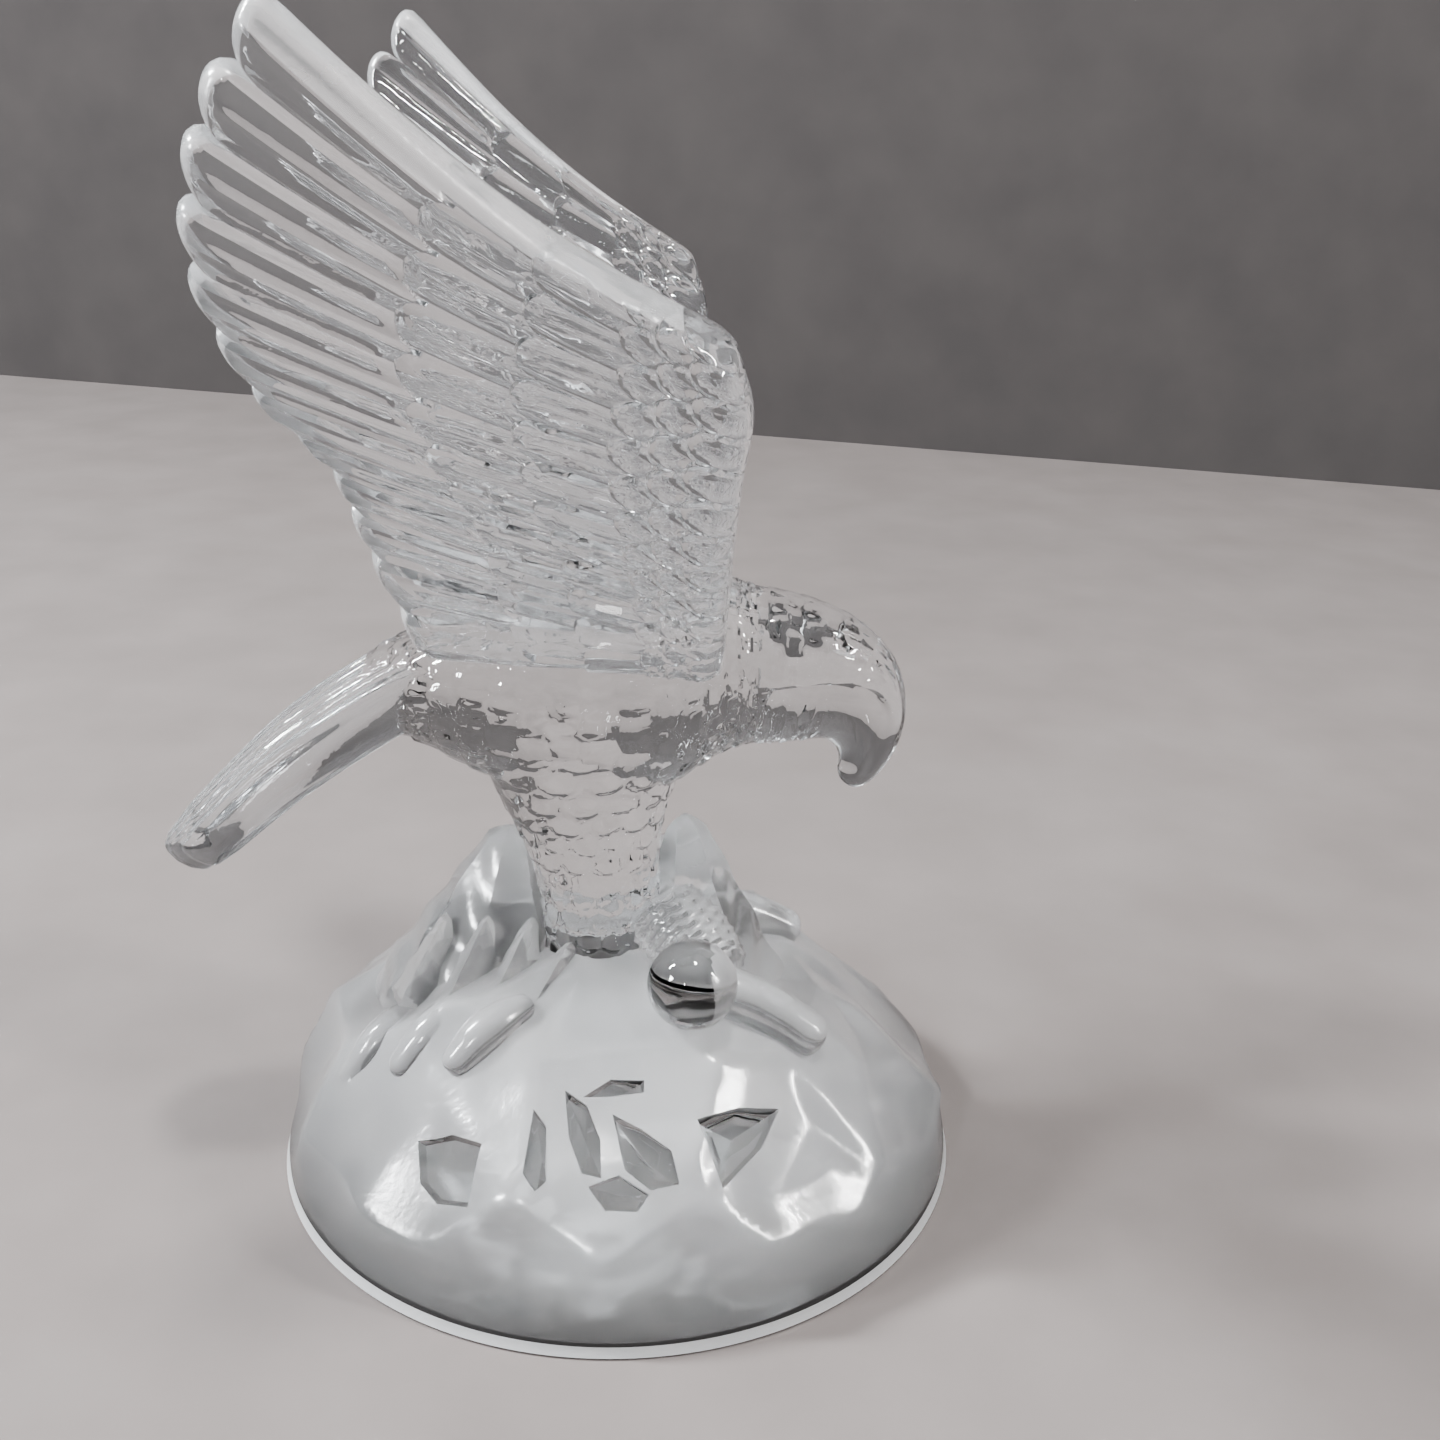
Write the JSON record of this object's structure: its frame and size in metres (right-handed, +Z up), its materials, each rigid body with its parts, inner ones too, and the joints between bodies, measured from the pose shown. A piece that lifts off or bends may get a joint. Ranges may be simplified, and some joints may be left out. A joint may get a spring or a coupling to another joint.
{
  "type": "glass eagle figurine",
  "caption": "Clear pressed-glass figurine of an eagle with raised wings perched on a faceted, frosted rock with a flat round underside.",
  "frame": {"origin": "middle of the flat round underside", "axes": "+Z up, +X the way the eagle faces, +Y towards its left wing"},
  "size_m": [0.0996, 0.0924, 0.1393],
  "materials": {
    "pressed_glass": "clear glass with fine carving on the bird, satin frosting on the rock"
  },
  "bodies": {
    "root": {"glass_eagle": "pressed_glass"}
  },
  "joints": []
}
